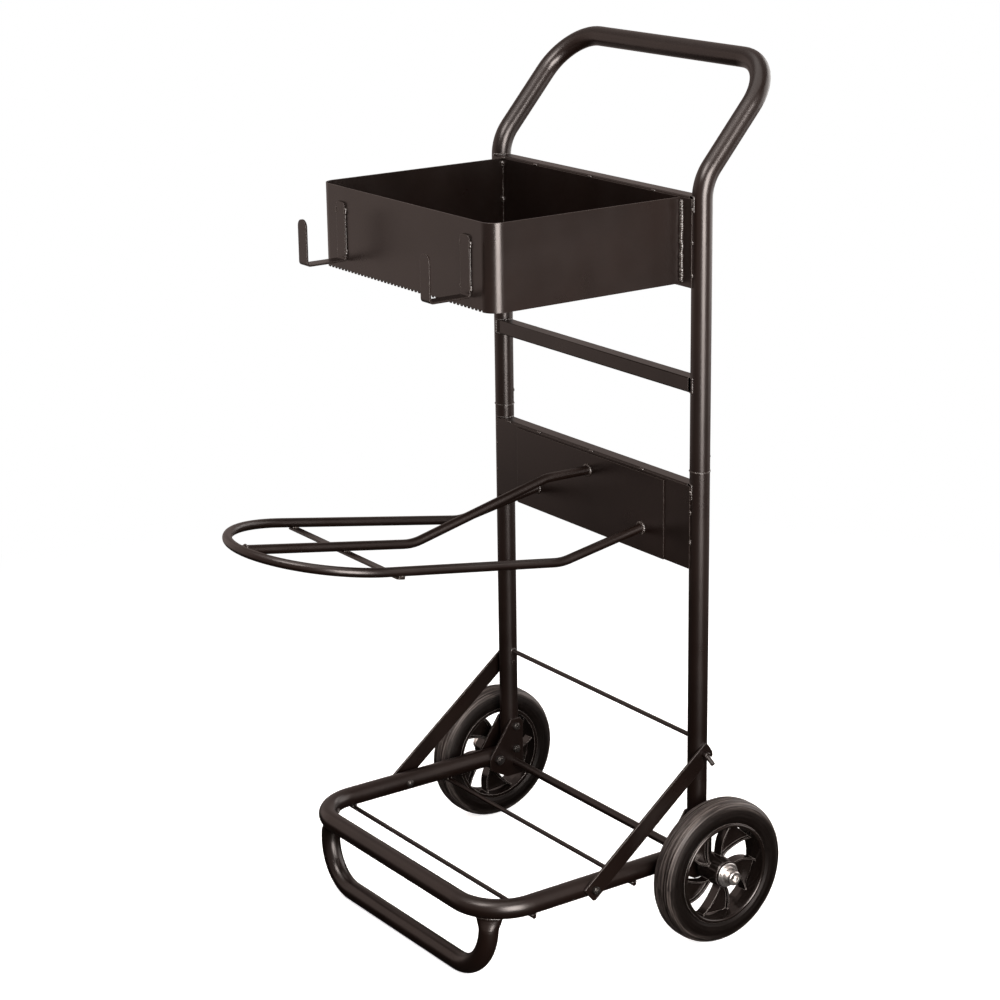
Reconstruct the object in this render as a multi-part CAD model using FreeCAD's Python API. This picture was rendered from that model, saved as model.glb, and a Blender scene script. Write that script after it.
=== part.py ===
import FreeCAD, Part
import math
import os

from FreeCAD import Vector

os.makedirs("parts", exist_ok=True)

# Two-wheeled hand cart for a small oxygen and acetylene cylinder pair. All lengths are in millimetres.
# The model is laid out with X across the cart, Y from the front (-) to the back (+) and Z up.
# While it is laid out, Y = 0 is the plane of the two uprights and of the axle, and Z = 0 is the floor.
# At the end everything moves along Y together, so that the origin is the bottom centre of the bounding box.

# Round tube of the main frame
tube_radius = 13.5
tube_wall = 1.5
upright_x = 221.7

# Handle
seam_z = 656.5
handle_bend_z = 1039.0
handle_bend_radius = 60.0
handle_lean_deg = 41.4
handle_slant_length = 186.5
handle_corner_radius = 68.0
vent_hole_x = 148.0
vent_hole_radius = 2.0

# Lower uprights and their swaged necks
upright_bottom_z = 84.0
neck_radius = 11.9
neck_bore_radius = 10.4
neck_top_z = 716.0

# Snap buttons that lock the upper frame onto the necks
button_z = 674.0
button_radius = 3.2
button_dome = 3.0

# Square rails between the uprights
rail_size = 20.0
rail_wall = 1.5
rail_half_length = 212.0
middle_rail_top_z = 782.5
plate_rail_top_z = 638.5
tray_rail_top_z = 1020.0

# Flat plates on the front of the rails
sheet = 2.0
plate_half_width = 220.0
plate_bottom_z = 523.0
plate_top_z = 637.0
mount_half_width = 167.5
mount_top_z = 634.0

# Open-topped tool tray
tray_half_width = 197.5
tray_front_y = -312.5
tray_bottom_z = 905.0
tray_top_z = 1017.5
tray_sheet = 1.5
tray_corner_radius = 20.0
tray_back_bottom_z = 902.0
tray_floor_z = 907.0
serration_pitch = 8.0
serration_radius = 2.4

# Hose hooks on the front of the tray
hook_x = 145.0
hook_width = 20.0
hook_thickness = 2.5
hook_bottom_z = 919.0
hook_tab_top_z = 998.0
hook_reach = 59.5
hook_end_top_z = 981.0

# Cylinder hoop
hoop_radius = 6.35
hoop_wall = 1.5
hoop_leg_x = 119.3
hoop_root_z = 556.0
hoop_bend_y = -150.7
hoop_bend_z = 533.3
hoop_rise_deg = 9.4
hoop_splay_deg = 2.4
hoop_length = 422.0
centre_root_z = 609.5
centre_knee_y = -88.0
centre_knee_z = 610.5
centre_dip_y = -308.0
strap_position = 264.0
strap_width = 13.0
strap_thickness = 3.0

# Folding platform
platform_tube_radius = 13.4
platform_z = 113.5
platform_front_y = -349.8
platform_corner_radius = 67.0
platform_rear_y = -21.5
pivot_y = -31.5
rod_radius = 3.2
rod_half_length = 227.3
front_rod_y = -278.5
middle_rod_y = -112.0

# Foot loop under the front corners of the platform
foot_leg_x = 197.5
foot_top_y = -329.0
foot_bottom_y = -337.0
foot_corner_radius = 66.0
foot_flat_half_length = 17.5
foot_flat_half_width = 9.6
foot_flat_start_z = 81.0
# Share of the height and share of the flattening, from the round leg up into the platform tube
foot_flat_stations = ((0.0, 0.0), (0.12, 0.12), (0.24, 0.42), (0.36, 0.74),
                      (0.48, 0.94), (0.6, 1.0), (1.0, 1.0))

# Tie rod between the uprights
tie_rod_z = 278.5

# Side brackets that carry the platform pivot and the axle
bracket_thickness = 3.0
frame_bolt_heights = (124.0, 160.0)
m6_radius = 3.0
m8_radius = 4.0
hole_clearance = 0.05

# Hooked braces and the stepped pins that they hook over
brace_thickness = 3.0
brace_width = 25.0
brace_gap = 0.2
brace_bolt_y = -187.0
brace_pin_z = 260.0
brace_end = 11.5
hook_pin_radius = 5.0
hook_shoulder_length = 10.0
hook_end_length = 17.0
hook_end_droop_deg = 30.0
notch_clearance = 0.6
notch_flare_deg = 24.0

# Axle
axle_radius = 6.0
axle_half_length = 290.0
axle_clearance = 0.05
axle_bolt_neck_radius = 7.6
axle_bolt_head_radius = 9.9
axle_bolt_socket = 10.0

# Wheels
wheel_x = 266.0
wheel_radius = 101.6
tyre_half_width = 20.0
rim_seat_radius = 68.5
rim_inner_radius = 65.0
rim_half_width = 17.5
rim_lip_radius = 71.5
hub_radius = 20.0
hub_inner_end = -19.0
hub_outer_end = 21.0
spoke_count = 5
spoke_first_deg = 72.0
# Radius, sweep angle and half width angle of a spoke, from the hub out to the rim
spoke_shape = ((17.0, 0.0, 9.0), (24.0, 1.5, 10.0), (32.0, 5.0, 14.5), (42.0, 10.0, 18.0), (54.0, 16.0, 19.5),
               (67.0, 23.0, 20.5))
web_back = -3.5
web_front = -1.0
rib_back = -11.0
rib_front = 4.0
rib_thickness = 2.4


# ---------------------------------------------------------------- general helpers

def box(x0, x1, y0, y1, z0, z1):
    return Part.makeBox(x1 - x0, y1 - y0, z1 - z0, Vector(x0, y0, z0))


def cylinder_x(x0, x1, y, z, radius):
    return Part.makeCylinder(radius, x1 - x0, Vector(x0, y, z), Vector(1, 0, 0))


def cylinder_y(x, y0, y1, z, radius):
    return Part.makeCylinder(radius, y1 - y0, Vector(x, y0, z), Vector(0, 1, 0))


def cylinder_z(x, y, z0, z1, radius):
    return Part.makeCylinder(radius, z1 - z0, Vector(x, y, z0), Vector(0, 0, 1))


def hexagon_x(x0, x1, y, z, across_flats):
    """A hexagonal prism along X."""
    corner_radius = across_flats / math.sqrt(3)
    points = []
    for step in range(7):
        angle = math.radians(60 * step)
        points.append(Vector(x0, y + corner_radius * math.cos(angle), z + corner_radius * math.sin(angle)))
    return Part.Face(Part.makePolygon(points)).extrude(Vector(x1 - x0, 0, 0))


def extrude_x(outline, x0, x1):
    """A flat plate from (y, z) outline points, from x0 to x1."""
    points = [Vector(x0, y, z) for y, z in outline]
    return Part.Face(Part.makePolygon(points + points[:1])).extrude(Vector(x1 - x0, 0, 0))


def fillet_edges(shape, radius, chosen):
    return shape.makeFillet(radius, [edge for edge in shape.Edges if chosen(edge)])


def runs_along(edge, axis):
    """True for a straight edge parallel to the axis ('X', 'Y' or 'Z')."""
    if not isinstance(edge.Curve, Part.Line):
        return False
    return abs(abs(getattr(edge.Curve.Direction, axis.lower())) - 1) < 1e-6


def mirrored(shape):
    return shape.mirror(Vector(0, 0, 0), Vector(1, 0, 0))


def joined(shapes):
    """One solid from touching or overlapping shapes."""
    result = shapes[0]
    for shape in shapes[1:]:
        result = result.fuse(shape)
    return result.removeSplitter()


def rounded_path(corners, radii):
    """A wire of straight runs through the corners, with a tangent arc at each inner one."""
    edges = []
    start = corners[0]
    for index in range(1, len(corners) - 1):
        corner = corners[index]
        back = (corners[index - 1] - corner).normalize()
        ahead = (corners[index + 1] - corner).normalize()
        half_angle = back.getAngle(ahead) / 2
        setback = radii[index - 1] / math.tan(half_angle)
        bisector = (back + ahead).normalize()
        centre = corner + bisector * (radii[index - 1] / math.sin(half_angle))
        arc_start = corner + back * setback
        arc_end = corner + ahead * setback
        edges.append(Part.LineSegment(start, arc_start).toShape())
        edges.append(Part.Arc(arc_start, centre - bisector * radii[index - 1], arc_end).toShape())
        start = arc_end
    edges.append(Part.LineSegment(start, corners[-1]).toShape())
    return Part.Wire(edges)


def pipe(path, radius):
    """A solid round bar along the path."""
    first = path.OrderedEdges[0]
    start = first.valueAt(first.FirstParameter)
    direction = first.tangentAt(first.FirstParameter)
    section = Part.Wire([Part.makeCircle(radius, start, direction)])
    return path.makePipeShell([section], True, True)


def bent_tube(path, radius, wall):
    return pipe(path, radius).cut(pipe(path, radius - wall))


def upright_outline(side):
    """The full round outline of one upright, for coping what is welded to it."""
    return cylinder_z(side * upright_x, 0, 0, handle_bend_z - 30, tube_radius)


# ---------------------------------------------------------------- main frame

def handle_path():
    lean = math.radians(handle_lean_deg)
    top_y = handle_slant_length * math.sin(lean)
    top_z = handle_bend_z + handle_slant_length * math.cos(lean)
    corners = [
        Vector(-upright_x, 0, seam_z),
        Vector(-upright_x, 0, handle_bend_z),
        Vector(-upright_x, top_y, top_z),
        Vector(upright_x, top_y, top_z),
        Vector(upright_x, 0, handle_bend_z),
        Vector(upright_x, 0, seam_z),
    ]
    radii = [handle_bend_radius, handle_corner_radius, handle_corner_radius, handle_bend_radius]
    return rounded_path(corners, radii)


def button_hole(side, radius):
    return cylinder_y(side * upright_x, 0, tube_radius + 5, button_z, radius)


def upper_frame():
    """The handle and both upper uprights, bent from one tube."""
    frame = bent_tube(handle_path(), tube_radius, tube_wall)
    for side in (-1, 1):
        frame = frame.cut(button_hole(side, button_radius + hole_clearance))
    lean = math.radians(handle_lean_deg)
    inward = Vector(0, -math.sin(lean), -math.cos(lean))
    bar_centre = Vector(vent_hole_x, 0, handle_bend_z) - inward * handle_slant_length
    return frame.cut(Part.makeCylinder(vent_hole_radius, tube_radius + 5, bar_centre, inward))


def lower_upright(side):
    """A straight tube whose top is swaged down to a neck that fits inside the upper frame."""
    bore = tube_radius - tube_wall
    profile = [
        Vector(bore, 0, upright_bottom_z),
        Vector(tube_radius, 0, upright_bottom_z),
        Vector(tube_radius, 0, seam_z - 1.2),
        Vector(bore + 0.7, 0, seam_z),
        Vector(neck_radius, 0, seam_z),
        Vector(neck_radius, 0, neck_top_z),
        Vector(neck_bore_radius, 0, neck_top_z),
        Vector(neck_bore_radius, 0, seam_z - 6),
        Vector(bore, 0, seam_z - 14),
    ]
    face = Part.Face(Part.makePolygon(profile + profile[:1]))
    tube = face.revolve(Vector(0, 0, 0), Vector(0, 0, 1), 360)
    tube.translate(Vector(side * upright_x, 0, 0))
    reach = tube_radius + 2
    x0 = side * upright_x - reach
    x1 = side * upright_x + reach
    cuts = [cylinder_x(x0, x1, 0, wheel_radius, axle_radius + axle_clearance)]
    for height in frame_bolt_heights:
        cuts.append(cylinder_x(x0, x1, 0, height, m6_radius + hole_clearance))
    cuts.append(cylinder_x(x0, x1, 0, brace_pin_z, rod_radius + hole_clearance))
    cuts.append(button_hole(side, button_radius + hole_clearance))
    for cut in cuts:
        tube = tube.cut(cut)
    return tube


def square_rail(top_z):
    """A square tube across the cart, flush with the front of the uprights and coped round them."""
    front = -tube_radius
    rail = box(-rail_half_length, rail_half_length, front, front + rail_size, top_z - rail_size, top_z)
    rail = fillet_edges(rail, 2.0, lambda edge: runs_along(edge, "X"))
    hollow = box(-rail_half_length, rail_half_length, front + rail_wall, front + rail_size - rail_wall,
                 top_z - rail_size + rail_wall, top_z - rail_wall)
    rail = rail.cut(hollow)
    for side in (-1, 1):
        rail = rail.cut(upright_outline(side))
    return rail


def tie_rod():
    rod = cylinder_x(-upright_x + 5, upright_x - 5, 0, tie_rod_z, rod_radius)
    for side in (-1, 1):
        rod = rod.cut(upright_outline(side))
    return rod


def front_plate(half_width, back_y, bottom_z, top_z):
    return box(-half_width, half_width, back_y - sheet, back_y, bottom_z, top_z)


# ---------------------------------------------------------------- tray

def tray_block(half_width, front_y, bottom_z, top_z, radius):
    """A block with rounded front corners, whose back lies on the tray's back plate."""
    block = box(-half_width, half_width, front_y, -tube_radius - sheet, bottom_z, top_z)
    front_corner = lambda edge: runs_along(edge, "Z") and edge.Vertexes[0].Y < front_y + 1
    return fillet_edges(block, radius, front_corner)


def tray_shell():
    """The front and the two sides, bent from one strip, with a finely notched lower front edge."""
    inner_half_width = tray_half_width - tray_sheet
    inner_front_y = tray_front_y + tray_sheet
    outer = tray_block(tray_half_width, tray_front_y, tray_bottom_z, tray_top_z, tray_corner_radius)
    inner = tray_block(inner_half_width, inner_front_y, tray_bottom_z, tray_top_z,
                       tray_corner_radius - tray_sheet)
    shell = outer.cut(inner)
    reach = tray_half_width - tray_corner_radius
    count = int(2 * reach / serration_pitch)
    notches = []
    for index in range(count + 1):
        x = (index - count / 2) * serration_pitch
        notches.append(cylinder_y(x, tray_front_y - 1, inner_front_y + 1, tray_bottom_z, serration_radius))
    return shell.cut(Part.makeCompound(notches))


def tray_floor():
    return tray_block(tray_half_width - tray_sheet, tray_front_y + tray_sheet, tray_floor_z,
                      tray_floor_z + tray_sheet, tray_corner_radius - tray_sheet)


def hose_hook(side):
    """A flat strip bent to a J: a tab on the tray, an arm that points forward and an upturned end."""
    half = hook_thickness / 2
    tab_y = tray_front_y - half
    end_y = tray_front_y - hook_reach - half
    arm_z = hook_bottom_z + half
    x = side * hook_x
    corners = [
        Vector(x, tab_y, hook_tab_top_z),
        Vector(x, tab_y, arm_z),
        Vector(x, end_y, arm_z),
        Vector(x, end_y, hook_end_top_z),
    ]
    path = rounded_path(corners, [4.0, 4.0])
    section = Part.makePolygon([
        Vector(x - hook_width / 2, tab_y - half, hook_tab_top_z),
        Vector(x + hook_width / 2, tab_y - half, hook_tab_top_z),
        Vector(x + hook_width / 2, tab_y + half, hook_tab_top_z),
        Vector(x - hook_width / 2, tab_y + half, hook_tab_top_z),
        Vector(x - hook_width / 2, tab_y - half, hook_tab_top_z),
    ])
    strip = path.makePipeShell([section], True, False)
    at_tab_top = lambda edge: runs_along(edge, "Y") and edge.Vertexes[0].Z > hook_tab_top_z - 0.1
    strip = fillet_edges(strip, 5.0, at_tab_top)
    at_end_top = lambda edge: runs_along(edge, "Y") and abs(edge.Vertexes[0].Z - hook_end_top_z) < 0.1
    return fillet_edges(strip, hook_width / 2 - 0.5, at_end_top)


# ---------------------------------------------------------------- cylinder hoop

def hoop_point(across, along, below=0.0):
    """A point in the hoop's sloping plane, or below it: across the cart, and forward from the bend."""
    rise = math.radians(hoop_rise_deg)
    y = hoop_bend_y - along * math.cos(rise) - below * math.sin(rise)
    z = hoop_bend_z + along * math.sin(rise) - below * math.cos(rise)
    return Vector(across, y, z)


def hoop_front_circle():
    """Distance to the centre of the hoop's round front, and its radius."""
    splay = math.radians(hoop_splay_deg)
    centre = (hoop_length - hoop_leg_x * math.cos(splay)) / (1 + math.sin(splay))
    return centre, hoop_length - centre


def hoop_outline(root_y, radius):
    """The whole bent bar of the hoop: two legs that dip and then rise, and a round front."""
    splay = math.radians(hoop_splay_deg)
    centre, front_radius = hoop_front_circle()
    touch_across = front_radius * math.cos(splay)
    touch_along = centre - front_radius * math.sin(splay)
    slope = (hoop_root_z - hoop_bend_z) / (-tube_radius - 2 * sheet - hoop_bend_y)
    root_z = hoop_root_z + slope * (root_y + tube_radius + 2 * sheet)
    left_leg = rounded_path([Vector(-hoop_leg_x, root_y, root_z), hoop_point(-hoop_leg_x, 0),
                             hoop_point(-touch_across, touch_along)], [70.0])
    front = Part.Arc(hoop_point(-touch_across, touch_along), hoop_point(0, hoop_length),
                     hoop_point(touch_across, touch_along)).toShape()
    right_leg = rounded_path([hoop_point(touch_across, touch_along), hoop_point(hoop_leg_x, 0),
                              Vector(hoop_leg_x, root_y, root_z)], [70.0])
    path = Part.Wire(left_leg.OrderedEdges + [front] + right_leg.OrderedEdges)
    return pipe(path, radius)


def in_front_of_mount_plate(shape):
    face_y = -tube_radius - 2 * sheet
    return shape.common(box(-300, 300, -700, face_y, 400, 800))


def hoop_outer_tube():
    root_y = -tube_radius
    tube = hoop_outline(root_y, hoop_radius).cut(hoop_outline(root_y, hoop_radius - hoop_wall))
    return in_front_of_mount_plate(tube)


def hoop_centre_tube():
    """The dividing tube down the middle of the hoop, coped to the round front."""
    _, front_radius = hoop_front_circle()
    rise = math.radians(hoop_rise_deg)
    dip_z = hoop_bend_z + (hoop_bend_y - centre_dip_y) * math.tan(rise)
    corners = [
        Vector(0, -tube_radius, centre_root_z),
        Vector(0, centre_knee_y, centre_knee_z),
        Vector(0, centre_dip_y, dip_z),
        hoop_point(0, hoop_length),
    ]
    path = rounded_path(corners, [60.0, 70.0])
    tube = bent_tube(path, hoop_radius, hoop_wall)
    tube = in_front_of_mount_plate(tube)
    return tube.cut(hoop_outline(-tube_radius, hoop_radius))


def hoop_cross_strap():
    """A flat strap welded under the two legs and the centre tube."""
    half_length = hoop_leg_x + strap_position * math.tan(math.radians(hoop_splay_deg)) + 5.0
    near = strap_position - strap_width / 2
    far = strap_position + strap_width / 2
    corners = [
        hoop_point(-half_length, near, hoop_radius),
        hoop_point(half_length, near, hoop_radius),
        hoop_point(half_length, far, hoop_radius),
        hoop_point(-half_length, far, hoop_radius),
    ]
    down = hoop_point(0, 0, strap_thickness) - hoop_point(0, 0, 0)
    strap = Part.Face(Part.makePolygon(corners + corners[:1])).extrude(down)
    return fillet_edges(strap, 4.0, lambda edge: edge.Length < strap_thickness + 0.1)


# ---------------------------------------------------------------- folding platform

def platform_outline(radius):
    corners = [
        Vector(-upright_x, platform_rear_y, platform_z),
        Vector(-upright_x, platform_front_y, platform_z),
        Vector(upright_x, platform_front_y, platform_z),
        Vector(upright_x, platform_rear_y, platform_z),
    ]
    return pipe(rounded_path(corners, [platform_corner_radius] * 2), radius)


def platform_frame():
    frame = platform_outline(platform_tube_radius).cut(platform_outline(platform_tube_radius - tube_wall))
    for side in (-1, 1):
        x0 = side * upright_x - 20
        x1 = side * upright_x + 20
        frame = frame.cut(cylinder_x(x0, x1, pivot_y, platform_z, m8_radius + hole_clearance))
        frame = frame.cut(cylinder_x(x0, x1, brace_bolt_y, platform_z, m6_radius + hole_clearance))
    return frame


def platform_rod(y):
    z = platform_z - platform_tube_radius - rod_radius
    return cylinder_x(-rod_half_length, rod_half_length, y, z, rod_radius)


def foot_y(z):
    """The foot loop leans a little: its Y at a height."""
    share = (z - tube_radius) / (platform_z - tube_radius)
    return foot_bottom_y + share * (foot_top_y - foot_bottom_y)


def flattened_end(side, radius, half_length, half_width):
    """The squashed upper end of a leg, whose long side follows the platform's round corner."""
    low_centre = Vector(side * foot_leg_x, foot_y(foot_flat_start_z), foot_flat_start_z)
    top_centre = Vector(side * foot_leg_x, foot_y(platform_z), platform_z)
    rise = top_centre - low_centre
    across = rise.cross(Vector(side, 1, 0)).normalize()
    along = across.cross(rise).normalize()
    sections = []
    for height_share, flat_share in foot_flat_stations:
        centre = low_centre + rise * height_share
        if flat_share == 0:
            outline = Part.Circle(centre, rise, radius)
            outline.XAxis = along
        else:
            major = along * (radius + flat_share * (half_length - radius))
            minor = across * (radius + flat_share * (half_width - radius))
            outline = Part.Ellipse(centre + major, centre + minor, centre)
        sections.append(Part.Wire([outline.toShape()]))
    return Part.makeLoft(sections, True, True)


def foot_bar(radius, half_length, half_width):
    low = foot_flat_start_z
    corners = [
        Vector(-foot_leg_x, foot_y(low), low),
        Vector(-foot_leg_x, foot_bottom_y, tube_radius),
        Vector(foot_leg_x, foot_bottom_y, tube_radius),
        Vector(foot_leg_x, foot_y(low), low),
    ]
    bar = pipe(rounded_path(corners, [foot_corner_radius] * 2), radius)
    ends = [flattened_end(side, radius, half_length, half_width) for side in (-1, 1)]
    return joined([bar] + ends)


def foot_loop():
    outer = foot_bar(tube_radius, foot_flat_half_length, foot_flat_half_width)
    inner = foot_bar(tube_radius - tube_wall, foot_flat_half_length - tube_wall,
                     foot_flat_half_width - tube_wall)
    return outer.cut(inner).cut(platform_outline(platform_tube_radius))


# ---------------------------------------------------------------- brackets, bolts and braces

def bracket_outline():
    return [
        (-8.0, 171.0),
        (9.0, 171.0),
        (13.5, 165.0),
        (13.5, 82.0),
        (-16.0, 82.0),
        (-46.0, 99.0),
        (-46.0, 116.0),
    ]


def bracket(side, inward):
    """One of the two plates that sandwich an upright and the end of a platform tube."""
    face_x = upright_x - tube_radius if inward else upright_x + tube_radius
    x0 = face_x - bracket_thickness if inward else face_x
    plate = extrude_x(bracket_outline(), x0, x0 + bracket_thickness)
    plate = fillet_edges(plate, 3.0, lambda edge: runs_along(edge, "X"))
    holes = [cylinder_x(x0 - 1, x0 + 4, 0, wheel_radius, axle_radius + axle_clearance)]
    holes.append(cylinder_x(x0 - 1, x0 + 4, pivot_y, platform_z, m8_radius + hole_clearance))
    for height in frame_bolt_heights:
        holes.append(cylinder_x(x0 - 1, x0 + 4, 0, height, m6_radius + hole_clearance))
    for hole in holes:
        plate = plate.cut(hole)
    return plate if side > 0 else mirrored(plate)


def dome_head(x, y, z, radius, height):
    """A low domed bolt head on the face at x, pointing along +X."""
    sphere_radius = (radius ** 2 + height ** 2) / (2 * height)
    ball = Part.makeSphere(sphere_radius, Vector(x + height - sphere_radius, y, z))
    return ball.common(box(x, x + height + 1, y - radius - 1, y + radius + 1, z - radius - 1, z + radius + 1))


def through_bolt(inner_x, outer_x, y, z, radius, head_radius, head_height, end_length):
    """A bolt along X with a domed head outside and a plain end that stands out inside."""
    shank = cylinder_x(inner_x - end_length, outer_x, y, z, radius)
    return joined([shank, dome_head(outer_x, y, z, head_radius, head_height)])


def nut(x0, x1, y, z, across_flats, bore_radius):
    """A hexagonal nut along X with chamfered corners."""
    body = hexagon_x(x0, x1, y, z, across_flats)
    corner_radius = across_flats / math.sqrt(3)
    cone_height = corner_radius - across_flats / 2 + 0.35
    low = Part.makeCone(across_flats / 2 - 0.35, across_flats / 2 - 0.35 + 12, 12, Vector(x0, y, z),
                        Vector(1, 0, 0))
    high = Part.makeCone(across_flats / 2 - 0.35, across_flats / 2 - 0.35 + 12, 12, Vector(x1, y, z),
                         Vector(-1, 0, 0))
    body = body.common(low.fuse(cylinder_x(x0 + cone_height, x1, y, z, corner_radius + 1)))
    body = body.common(high.fuse(cylinder_x(x0, x1 - cone_height, y, z, corner_radius + 1)))
    return body.cut(cylinder_x(x0 - 1, x1 + 1, y, z, bore_radius))


def bracket_fastener(y, z, radius, head_radius, across_flats, nut_height):
    """Bolt and nut on the right-hand bracket, as two solids."""
    inner_x = upright_x - tube_radius - bracket_thickness
    outer_x = upright_x + tube_radius + bracket_thickness
    bolt = through_bolt(inner_x, outer_x, y, z, radius, head_radius, 3.2, nut_height + 2)
    return [bolt, nut(inner_x - nut_height, inner_x, y, z, across_flats, radius)]


def both_sides(solids):
    return Part.makeCompound(solids + [mirrored(solid) for solid in solids])


def frame_bolts():
    solids = []
    for height in frame_bolt_heights:
        solids += bracket_fastener(0, height, m6_radius, 6.5, 10.0, 5.5)
    return both_sides(solids)


def pivot_bolts():
    return both_sides(bracket_fastener(pivot_y, platform_z, m8_radius, 7.5, 13.0, 7.0))


def brace_frame():
    """Start point, direction and normal of the right-hand brace in (y, z), and its pin distance."""
    dy = 0.0 - brace_bolt_y
    dz = brace_pin_z - platform_z
    length = math.hypot(dy, dz)
    return (brace_bolt_y, platform_z), (dy / length, dz / length), (-dz / length, dy / length), length


def brace_point(along, above):
    start, direction, normal, _ = brace_frame()
    return (start[0] + along * direction[0] + above * normal[0],
            start[1] + along * direction[1] + above * normal[1])


def brace_inner_x():
    return upright_x + tube_radius + brace_gap


def brace(side):
    """A flat bar on its lower bolt, with an open notch at its upper end that hooks over the pin."""
    _, _, _, length = brace_frame()
    x0 = brace_inner_x()
    half = brace_width / 2
    outline = [
        brace_point(-brace_end, -half + 2.5),
        brace_point(-brace_end, half),
        brace_point(length + brace_end, half),
        brace_point(length + brace_end + 1.0, half - 7.0),
        brace_point(length + brace_end, -half + 6.5),
        brace_point(length + brace_end - 3.0, -half + 1.5),
        brace_point(length + brace_end - 6.5, -half),
        brace_point(-brace_end + 2.5, -half),
    ]
    bar = extrude_x(outline, x0, x0 + brace_thickness)
    notch_radius = hook_pin_radius + notch_clearance
    flare = (half + 6) * math.tan(math.radians(notch_flare_deg))
    seat = brace_point(length, 0)
    mouth = [
        brace_point(length + notch_radius, 0),
        brace_point(length + notch_radius, -half - 6),
        brace_point(length - notch_radius - flare, -half - 6),
        brace_point(length - notch_radius, 0),
    ]
    bar = bar.cut(cylinder_x(x0 - 1, x0 + 5, seat[0], seat[1], notch_radius))
    bar = bar.cut(extrude_x(mouth, x0 - 1, x0 + 5))
    bar = bar.cut(cylinder_x(x0 - 1, x0 + 5, brace_bolt_y, platform_z, m6_radius + hole_clearance))
    return bar if side > 0 else mirrored(bar)


def brace_bolts():
    """The braces' pivot bolts: domed heads inside the platform tubes' inner walls, lock nuts outside."""
    inner_x = upright_x - platform_tube_radius
    outer_x = brace_inner_x() + brace_thickness + 0.2
    washer = cylinder_x(upright_x + platform_tube_radius, brace_inner_x(), brace_bolt_y, platform_z, 5.5)
    washer = washer.cut(cylinder_x(200, 260, brace_bolt_y, platform_z, m6_radius))
    washer = washer.cut(cylinder_y(upright_x, -400, 0, platform_z, platform_tube_radius))
    head = mirrored(dome_head(-inner_x, brace_bolt_y, platform_z, 5.5, 3.0))
    head = head.fuse(cylinder_x(inner_x, inner_x + 3, brace_bolt_y, platform_z, 5.5))
    head = head.cut(cylinder_y(upright_x, -400, 0, platform_z, platform_tube_radius))
    shank = cylinder_x(inner_x, outer_x + 7.5, brace_bolt_y, platform_z, m6_radius)
    bolt = joined([head, shank])
    lock_nut = nut(outer_x, outer_x + 5.5, brace_bolt_y, platform_z, 10.0, m6_radius)
    return both_sides([bolt, lock_nut])


def hook_pin(side):
    """A pin through the upright: a thick shoulder for the brace, then a thin end that droops."""
    tube_side_x = upright_x + tube_radius
    shank = cylinder_x(upright_x - tube_radius - 1.5, tube_side_x + 5, 0, brace_pin_z, rod_radius)
    shoulder_end_x = tube_side_x + hook_shoulder_length
    shoulder = cylinder_x(tube_side_x - 2, shoulder_end_x, 0, brace_pin_z, hook_pin_radius)
    shoulder = fillet_edges(shoulder, 1.5, lambda edge: edge.Closed and edge.Vertexes[0].X > tube_side_x)
    shoulder = shoulder.cut(cylinder_z(upright_x, 0, brace_pin_z - 20, brace_pin_z + 20, tube_radius))
    droop = math.radians(hook_end_droop_deg)
    direction = Vector(math.cos(droop), 0, -math.sin(droop))
    start = Vector(shoulder_end_x - 4, 0, brace_pin_z)
    end = Part.makeCylinder(rod_radius, hook_end_length, start, direction)
    tip = start + direction * hook_end_length
    end = fillet_edges(end, 1.0, lambda edge: edge.Closed and (edge.Vertexes[0].Point - tip).Length < 4)
    pin = joined([shank, shoulder, end])
    return pin if side > 0 else mirrored(pin)


# ---------------------------------------------------------------- snap buttons

def snap_button(side):
    """A domed pin that stands out of the back of the upright, with a collar inside the neck."""
    x = side * upright_x
    tip_y = tube_radius + button_dome
    pin = cylinder_y(x, 8.0, tip_y, button_z, button_radius)
    pin = fillet_edges(pin, 1.8, lambda edge: edge.Vertexes[0].Y > tip_y - 0.1 and edge.Closed)
    collar = cylinder_y(x, 8.0, 9.2, button_z, button_radius + 1.2)
    return joined([pin, collar])


def snap_spring(side):
    """A thin strip folded to a V inside the neck, whose front leg backs the button."""
    x = side * upright_x
    front_y = 7.7
    back_y = -6.2
    fold_z = button_z - 30
    back_top_z = button_z + 14
    half_width = 3.0
    half_thickness = 0.3
    corners = [
        Vector(x, back_y, back_top_z),
        Vector(x, back_y, fold_z),
        Vector(x, front_y, fold_z),
        Vector(x, front_y, button_z + 8),
    ]
    path = rounded_path(corners, [6.5, 6.5])
    section = Part.makePolygon([
        Vector(x - half_width, back_y - half_thickness, back_top_z),
        Vector(x + half_width, back_y - half_thickness, back_top_z),
        Vector(x + half_width, back_y + half_thickness, back_top_z),
        Vector(x - half_width, back_y + half_thickness, back_top_z),
        Vector(x - half_width, back_y - half_thickness, back_top_z),
    ])
    return path.makePipeShell([section], True, False)


# ---------------------------------------------------------------- axle and wheels

def axle():
    """The axle rod, with a threaded hole for a bolt in each end."""
    bar = cylinder_x(-axle_half_length, axle_half_length, 0, wheel_radius, axle_radius)
    bar = bar.makeChamfer(0.8, [edge for edge in bar.Edges if edge.Closed])
    for side in (-1, 1):
        bar = bar.cut(cylinder_x(side * axle_half_length - 25, side * axle_half_length + 25, 0, wheel_radius,
                                 m8_radius))
    return bar


def ring_x(x0, x1, outer_radius, inner_radius):
    ring = cylinder_x(x0, x1, 0, wheel_radius, outer_radius)
    return ring.cut(cylinder_x(x0 - 1, x1 + 1, 0, wheel_radius, inner_radius))


def axle_spacers():
    """Short sleeves between the outer brackets and the wheels."""
    inner_x = upright_x + tube_radius + bracket_thickness
    outer_x = wheel_x + hub_inner_end - 1.2
    return both_sides([ring_x(inner_x, outer_x - 0.2, 9.5, axle_radius + axle_clearance)])


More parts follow.
